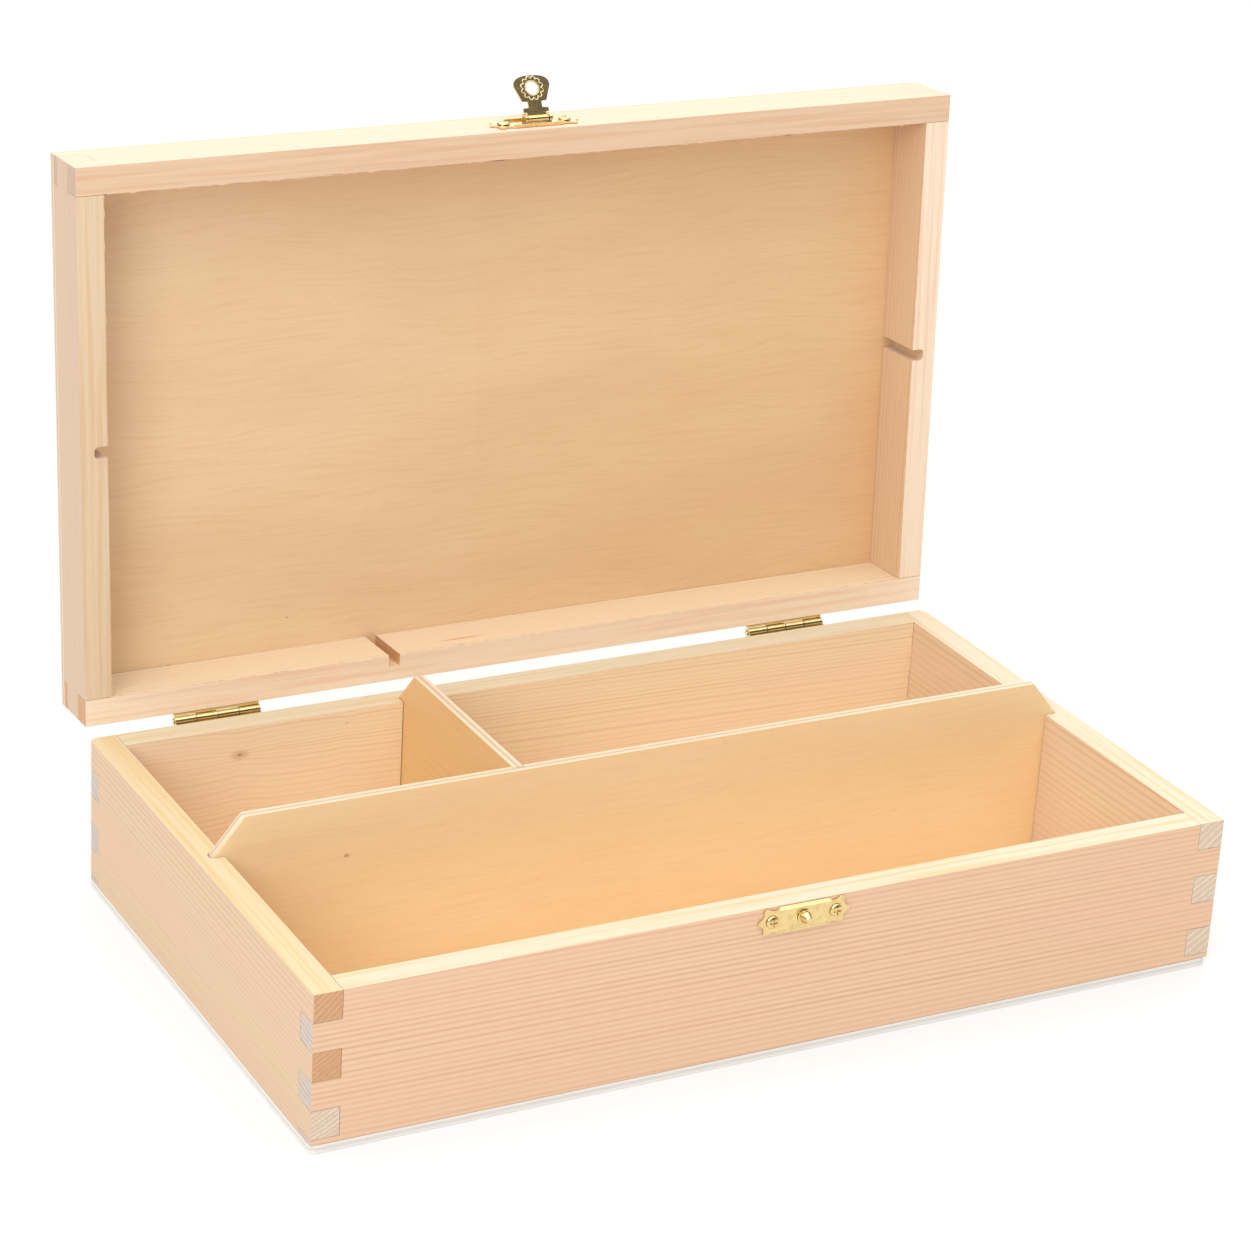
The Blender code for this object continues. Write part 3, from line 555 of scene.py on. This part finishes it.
def lip_group(node, inner, rise, slope):
    """Slopes a plate's upper lip back to the plate's edge, and flattens its lower one."""
    low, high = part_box(node)
    middle = (low.z + high.z) / 2
    group = node_group(node + "_lips")
    nodes, links = group.nodes, group.links
    position = nodes.new("GeometryNodeInputPosition")
    split = nodes.new("ShaderNodeSeparateXYZ")
    links.new(position.outputs[0], split.inputs[0])

    def step(operation, first, second):
        maths = nodes.new("ShaderNodeMath")
        maths.operation = operation
        for socket, value in zip(maths.inputs, (first, second)):
            if isinstance(value, bpy.types.NodeSocket):
                links.new(value, socket)
            else:
                socket.default_value = value
        return maths.outputs[0]

    proud = step("LESS_THAN", split.outputs[1], low.y + rise / 2)
    above = step("MAXIMUM", step("SUBTRACT", split.outputs[2], middle + inner), 0.0)
    below = step("LESS_THAN", split.outputs[2], middle - inner + LIP_TOLERANCE)
    back = step("ADD", step("MULTIPLY", above, slope), step("MULTIPLY", below, rise * LIP_FLATTENED))
    move = nodes.new("ShaderNodeCombineXYZ")
    links.new(step("MULTIPLY", back, proud), move.inputs[1])
    place = nodes.new("GeometryNodeSetPosition")
    links.new(move.outputs[0], place.inputs["Offset"])
    chain(group, [place])
    return group


# Brass
metal = brass("brass_bright", BRIGHT, BRIGHT_ROUGHNESS)
lips = NODES["catch_plate"].modifiers.new("lips", "NODES")
lips.node_group = lip_group("catch_plate", LIP_START, LIP_RISE, LIP_SLOPE)
for node, slot_name in SLOTS.items():
    if slot_name == "brass":
        plate = node.endswith("plate") or node == "hasp_flap"
        dress(node, metal, PLATE_EDGE if plate else FITTING_EDGE, segments=3 if plate else 2)


def add_piece(name, mesh, material, body):
    obj = bpy.data.objects.new(name, mesh)
    bpy.context.scene.collection.objects.link(obj)
    mesh.materials.append(material)
    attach(obj, body)


def bead(bm, points, radius, sides=8):
    """A closed round bead through points that lie in one XZ plane."""
    upright = Vector((0, 1, 0))
    rings = []
    for i, point in enumerate(points):
        tangent = (points[(i + 1) % len(points)] - points[i - 1]).normalized()
        outward = tangent.cross(upright)
        ring = []
        for step in range(sides):
            angle = 2 * math.pi * step / sides
            spoke = math.cos(angle) * outward + math.sin(angle) * upright
            ring.append(bm.verts.new(point + radius * spoke))
        rings.append(ring)
    for i, ring in enumerate(rings):
        following = rings[(i + 1) % len(rings)]
        for step in range(sides):
            other = (step + 1) % sides
            bm.faces.new((ring[step], ring[other], following[other], following[step]))


# The hasp's flap is stamped with a ring of petals round its hole, proud on both sides. For each bead, its
# least reach from the hole's centre, how far its lobes go past that, and its radius.
PETALS = 12
PETAL_POINTS = 10
BEADS = ((0.00275, 0.0, 0.00014), (0.0035, 0.001, 0.00019))
FLAP_HOLE_DROP = 0.0113
FLAP_HALF_THICKNESS = 0.0003
petals = bmesh.new()
hole = FLAP_AXIS - Vector((0, 0, FLAP_HOLE_DROP))
for face_side in (-1, 1):
    face_centre = hole + Vector((0, face_side * FLAP_HALF_THICKNESS, 0))
    for least, lobe, radius in BEADS:
        scallops = []
        for step in range(PETALS * PETAL_POINTS):
            turn = 2 * math.pi * step / (PETALS * PETAL_POINTS)
            reach = least + lobe * abs(math.sin(PETALS / 2 * turn))
            scallops.append(face_centre + reach * Vector((math.sin(turn), 0, math.cos(turn))))
        bead(petals, scallops, radius)
bmesh.ops.recalc_face_normals(petals, faces=petals.faces)
petals.transform(FLAP_OPENED)
petal_mesh = bpy.data.meshes.new("hasp_petals")
petals.to_mesh(petal_mesh)
petals.free()
petal_mesh.shade_smooth()
add_piece("hasp_petals", petal_mesh, brass("brass_rubbed", RUBBED, RUBBED_ROUGHNESS), "hasp")

# Torn fibres that the saw left along the inner edges of the lid's rim
fuzz = bmesh.new()
rim_level = min((SHUT @ vertex.co).z for vertex in NODES["lid_left_wall"].data.vertices)
inner_x = -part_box("base_left_wall")[1].x
inner_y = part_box("base_back_wall")[0].y
draw = random.Random(7)
SLOT_CLEARANCE = 0.003
FIBRE_LIFT, FIBRE_ROOT, FIBRE_LEAST, FIBRE_TIP = 0.00002, 0.0002, 0.0001, 0.15
# Each side's ends, its way inward, how many fibres it has and how long they can get
RIM_SIDES = (
    (Vector((-inner_x, -inner_y, 0)), Vector((inner_x, -inner_y, 0)), Vector((0, 1, 0)), 150, 0.00045),
    (Vector((-inner_x, inner_y, 0)), Vector((inner_x, inner_y, 0)), Vector((0, -1, 0)), 60, 0.0002),
    (Vector((-inner_x, -inner_y, 0)), Vector((-inner_x, inner_y, 0)), Vector((1, 0, 0)), 40, 0.0003),
    (Vector((inner_x, -inner_y, 0)), Vector((inner_x, inner_y, 0)), Vector((-1, 0, 0)), 40, 0.0003),
)
for start, end, inward, count, longest in RIM_SIDES:
    run = (end - start).normalized()
    for _ in range(count):
        foot = start.lerp(end, draw.random())
        half_width = draw.uniform(0.0006, 0.0035)
        reach = longest * draw.random() ** 1.6 + FIBRE_LEAST
        lean = draw.uniform(-0.6, 0.6) * half_width
        thickness = draw.uniform(0.00008, 0.0002)
        if abs(foot.y) < SLOT_CLEARANCE + half_width:
            continue
        corners = []
        for level in (FIBRE_LIFT, thickness):
            root = Vector((0, 0, rim_level + level))
            corners.append([
                fuzz.verts.new(foot + root - run * half_width - inward * FIBRE_ROOT),
                fuzz.verts.new(foot + root + run * half_width - inward * FIBRE_ROOT),
                fuzz.verts.new(foot + root + run * (lean + half_width * FIBRE_TIP) + inward * reach),
                fuzz.verts.new(foot + root + run * (lean - half_width * FIBRE_TIP) + inward * reach),
            ])
        low_face, high_face = corners
        fuzz.faces.new(low_face[::-1])
        fuzz.faces.new(high_face)
        for i in range(4):
            j = (i + 1) % 4
            fuzz.faces.new((low_face[i], low_face[j], high_face[j], high_face[i]))
bmesh.ops.recalc_face_normals(fuzz, faces=fuzz.faces)
fuzz.transform(OPENED)
fuzz_mesh = bpy.data.meshes.new("lid_saw_fuzz")
fuzz.to_mesh(fuzz_mesh)
fuzz.free()
fuzz_pine = pine("saw_fuzz_pine", True, "X", FRONT_PITH, edge=RIM_PINK)
add_piece("lid_saw_fuzz", fuzz_mesh, fuzz_pine, "lid")

# Floor, light and camera
floor_mesh = bpy.data.meshes.new("floor")
FLOOR_HALF, FLOOR_GAP = 30.0, 0.0002
FLOOR_GREY, FLOOR_GLOW = 0.42, 0.45
floor_level = cad_low.z - FLOOR_GAP
floor_mesh.from_pydata(
    [(x * FLOOR_HALF, y * FLOOR_HALF, floor_level) for x, y in ((-1, -1), (1, -1), (1, 1), (-1, 1))],
    [], [(0, 1, 2, 3)],
)
floor = bpy.data.objects.new("floor", floor_mesh)
bpy.context.scene.collection.objects.link(floor)
floor_look = Graph("floor_white")
floor_look.shader.inputs["Base Color"].default_value = (FLOOR_GREY, FLOOR_GREY, FLOOR_GREY, 1)
floor_look.shader.inputs["Roughness"].default_value = 0.9
floor_look.shader.inputs["Specular IOR Level"].default_value = 0.1
floor_look.shader.inputs["Emission Color"].default_value = (1, 1, 1, 1)
floor_look.shader.inputs["Emission Strength"].default_value = FLOOR_GLOW
floor_mesh.materials.append(floor_look.material)

world = bpy.data.worlds.new("studio")
bpy.context.scene.world = world
world.use_nodes = True
sky = world.node_tree.nodes["Background"]
sky.inputs["Color"].default_value = (1, 1, 1, 1)
direction = world.node_tree.nodes.new("ShaderNodeTexCoord").outputs["Generated"]


def glow(towards, start, full, low, high):
    """Strength of the studio's walls: low away from a direction, high towards it.

    start and full are the cosines of the angles from it where the change begins and ends.
    """
    nodes, links = world.node_tree.nodes, world.node_tree.links
    facing = nodes.new("ShaderNodeVectorMath")
    facing.operation = "DOT_PRODUCT"
    facing.inputs[1].default_value = Vector(towards).normalized()
    links.new(direction, facing.inputs[0])
    rise = nodes.new("ShaderNodeMapRange")
    rise.interpolation_type = "SMOOTHSTEP"
    for index, value in ((1, start), (2, full), (3, low), (4, high)):
        rise.inputs[index].default_value = value
    links.new(facing.outputs["Value"], rise.inputs[0])
    return rise.outputs[0]


def combined(operation, first, second):
    node = world.node_tree.nodes.new("ShaderNodeMath")
    node.operation = operation
    world.node_tree.links.new(first, node.inputs[0])
    world.node_tree.links.new(second, node.inputs[1])
    return node.outputs[0]


# A bright ceiling, a pale wall low behind the box, and a dark corner to the front right
ceiling = glow((0, 0, 1), start=0.45, full=0.85, low=0.5, high=1.8)
behind = glow((0.45, 0.81, 0.39), start=0.78, full=0.95, low=0.0, high=1.0)
corner = glow((0.45, -0.77, 0.46), start=0.9, full=0.98, low=1.0, high=0.15)
strength = combined("MULTIPLY", combined("ADD", ceiling, behind), corner)
world.node_tree.links.new(strength, sky.inputs["Strength"])


def softbox(name, place, aim, size, power):
    light = bpy.data.lights.new(name, "AREA")
    light.shape = "RECTANGLE"
    light.size, light.size_y = size
    light.energy = power
    lamp = bpy.data.objects.new(name, light)
    bpy.context.scene.collection.objects.link(lamp)
    lamp.location = place
    lamp.rotation_euler = (Vector(aim) - Vector(place)).to_track_quat("-Z", "Y").to_euler()
    lamp.visible_camera = False


softbox("overhead", place=(-0.3, -0.3, 1.7), aim=(0, 0, 0), size=(1.5, 1.5), power=7)
softbox("front_left", place=(-1.5, -1.3, 1.1), aim=(0, 0, 0.08), size=(1.0, 1.0), power=14)

# The camera stands where the photo was taken from, by fitting the box's corners to it
LENS, SENSOR = 107.85, 36
CAMERA_PLACE = Vector((-0.5947, -1.0502, 0.6259))
AZIMUTH, DOWN, ROLL = math.radians(28.86), math.radians(22.88), math.radians(3.50)
camera_data = bpy.data.cameras.new("camera")
camera_data.lens = LENS
camera_data.sensor_width = SENSOR
camera = bpy.data.objects.new("camera", camera_data)
bpy.context.scene.collection.objects.link(camera)
camera.matrix_world = (
    Matrix.Translation(CAMERA_PLACE)
    @ Matrix.Rotation(-AZIMUTH, 4, "Z")
    @ Matrix.Rotation(math.pi / 2 - DOWN, 4, "X")
    @ Matrix.Rotation(ROLL, 4, "Z")
)
bpy.context.scene.camera = camera
bpy.context.scene.view_settings.view_transform = "Standard"
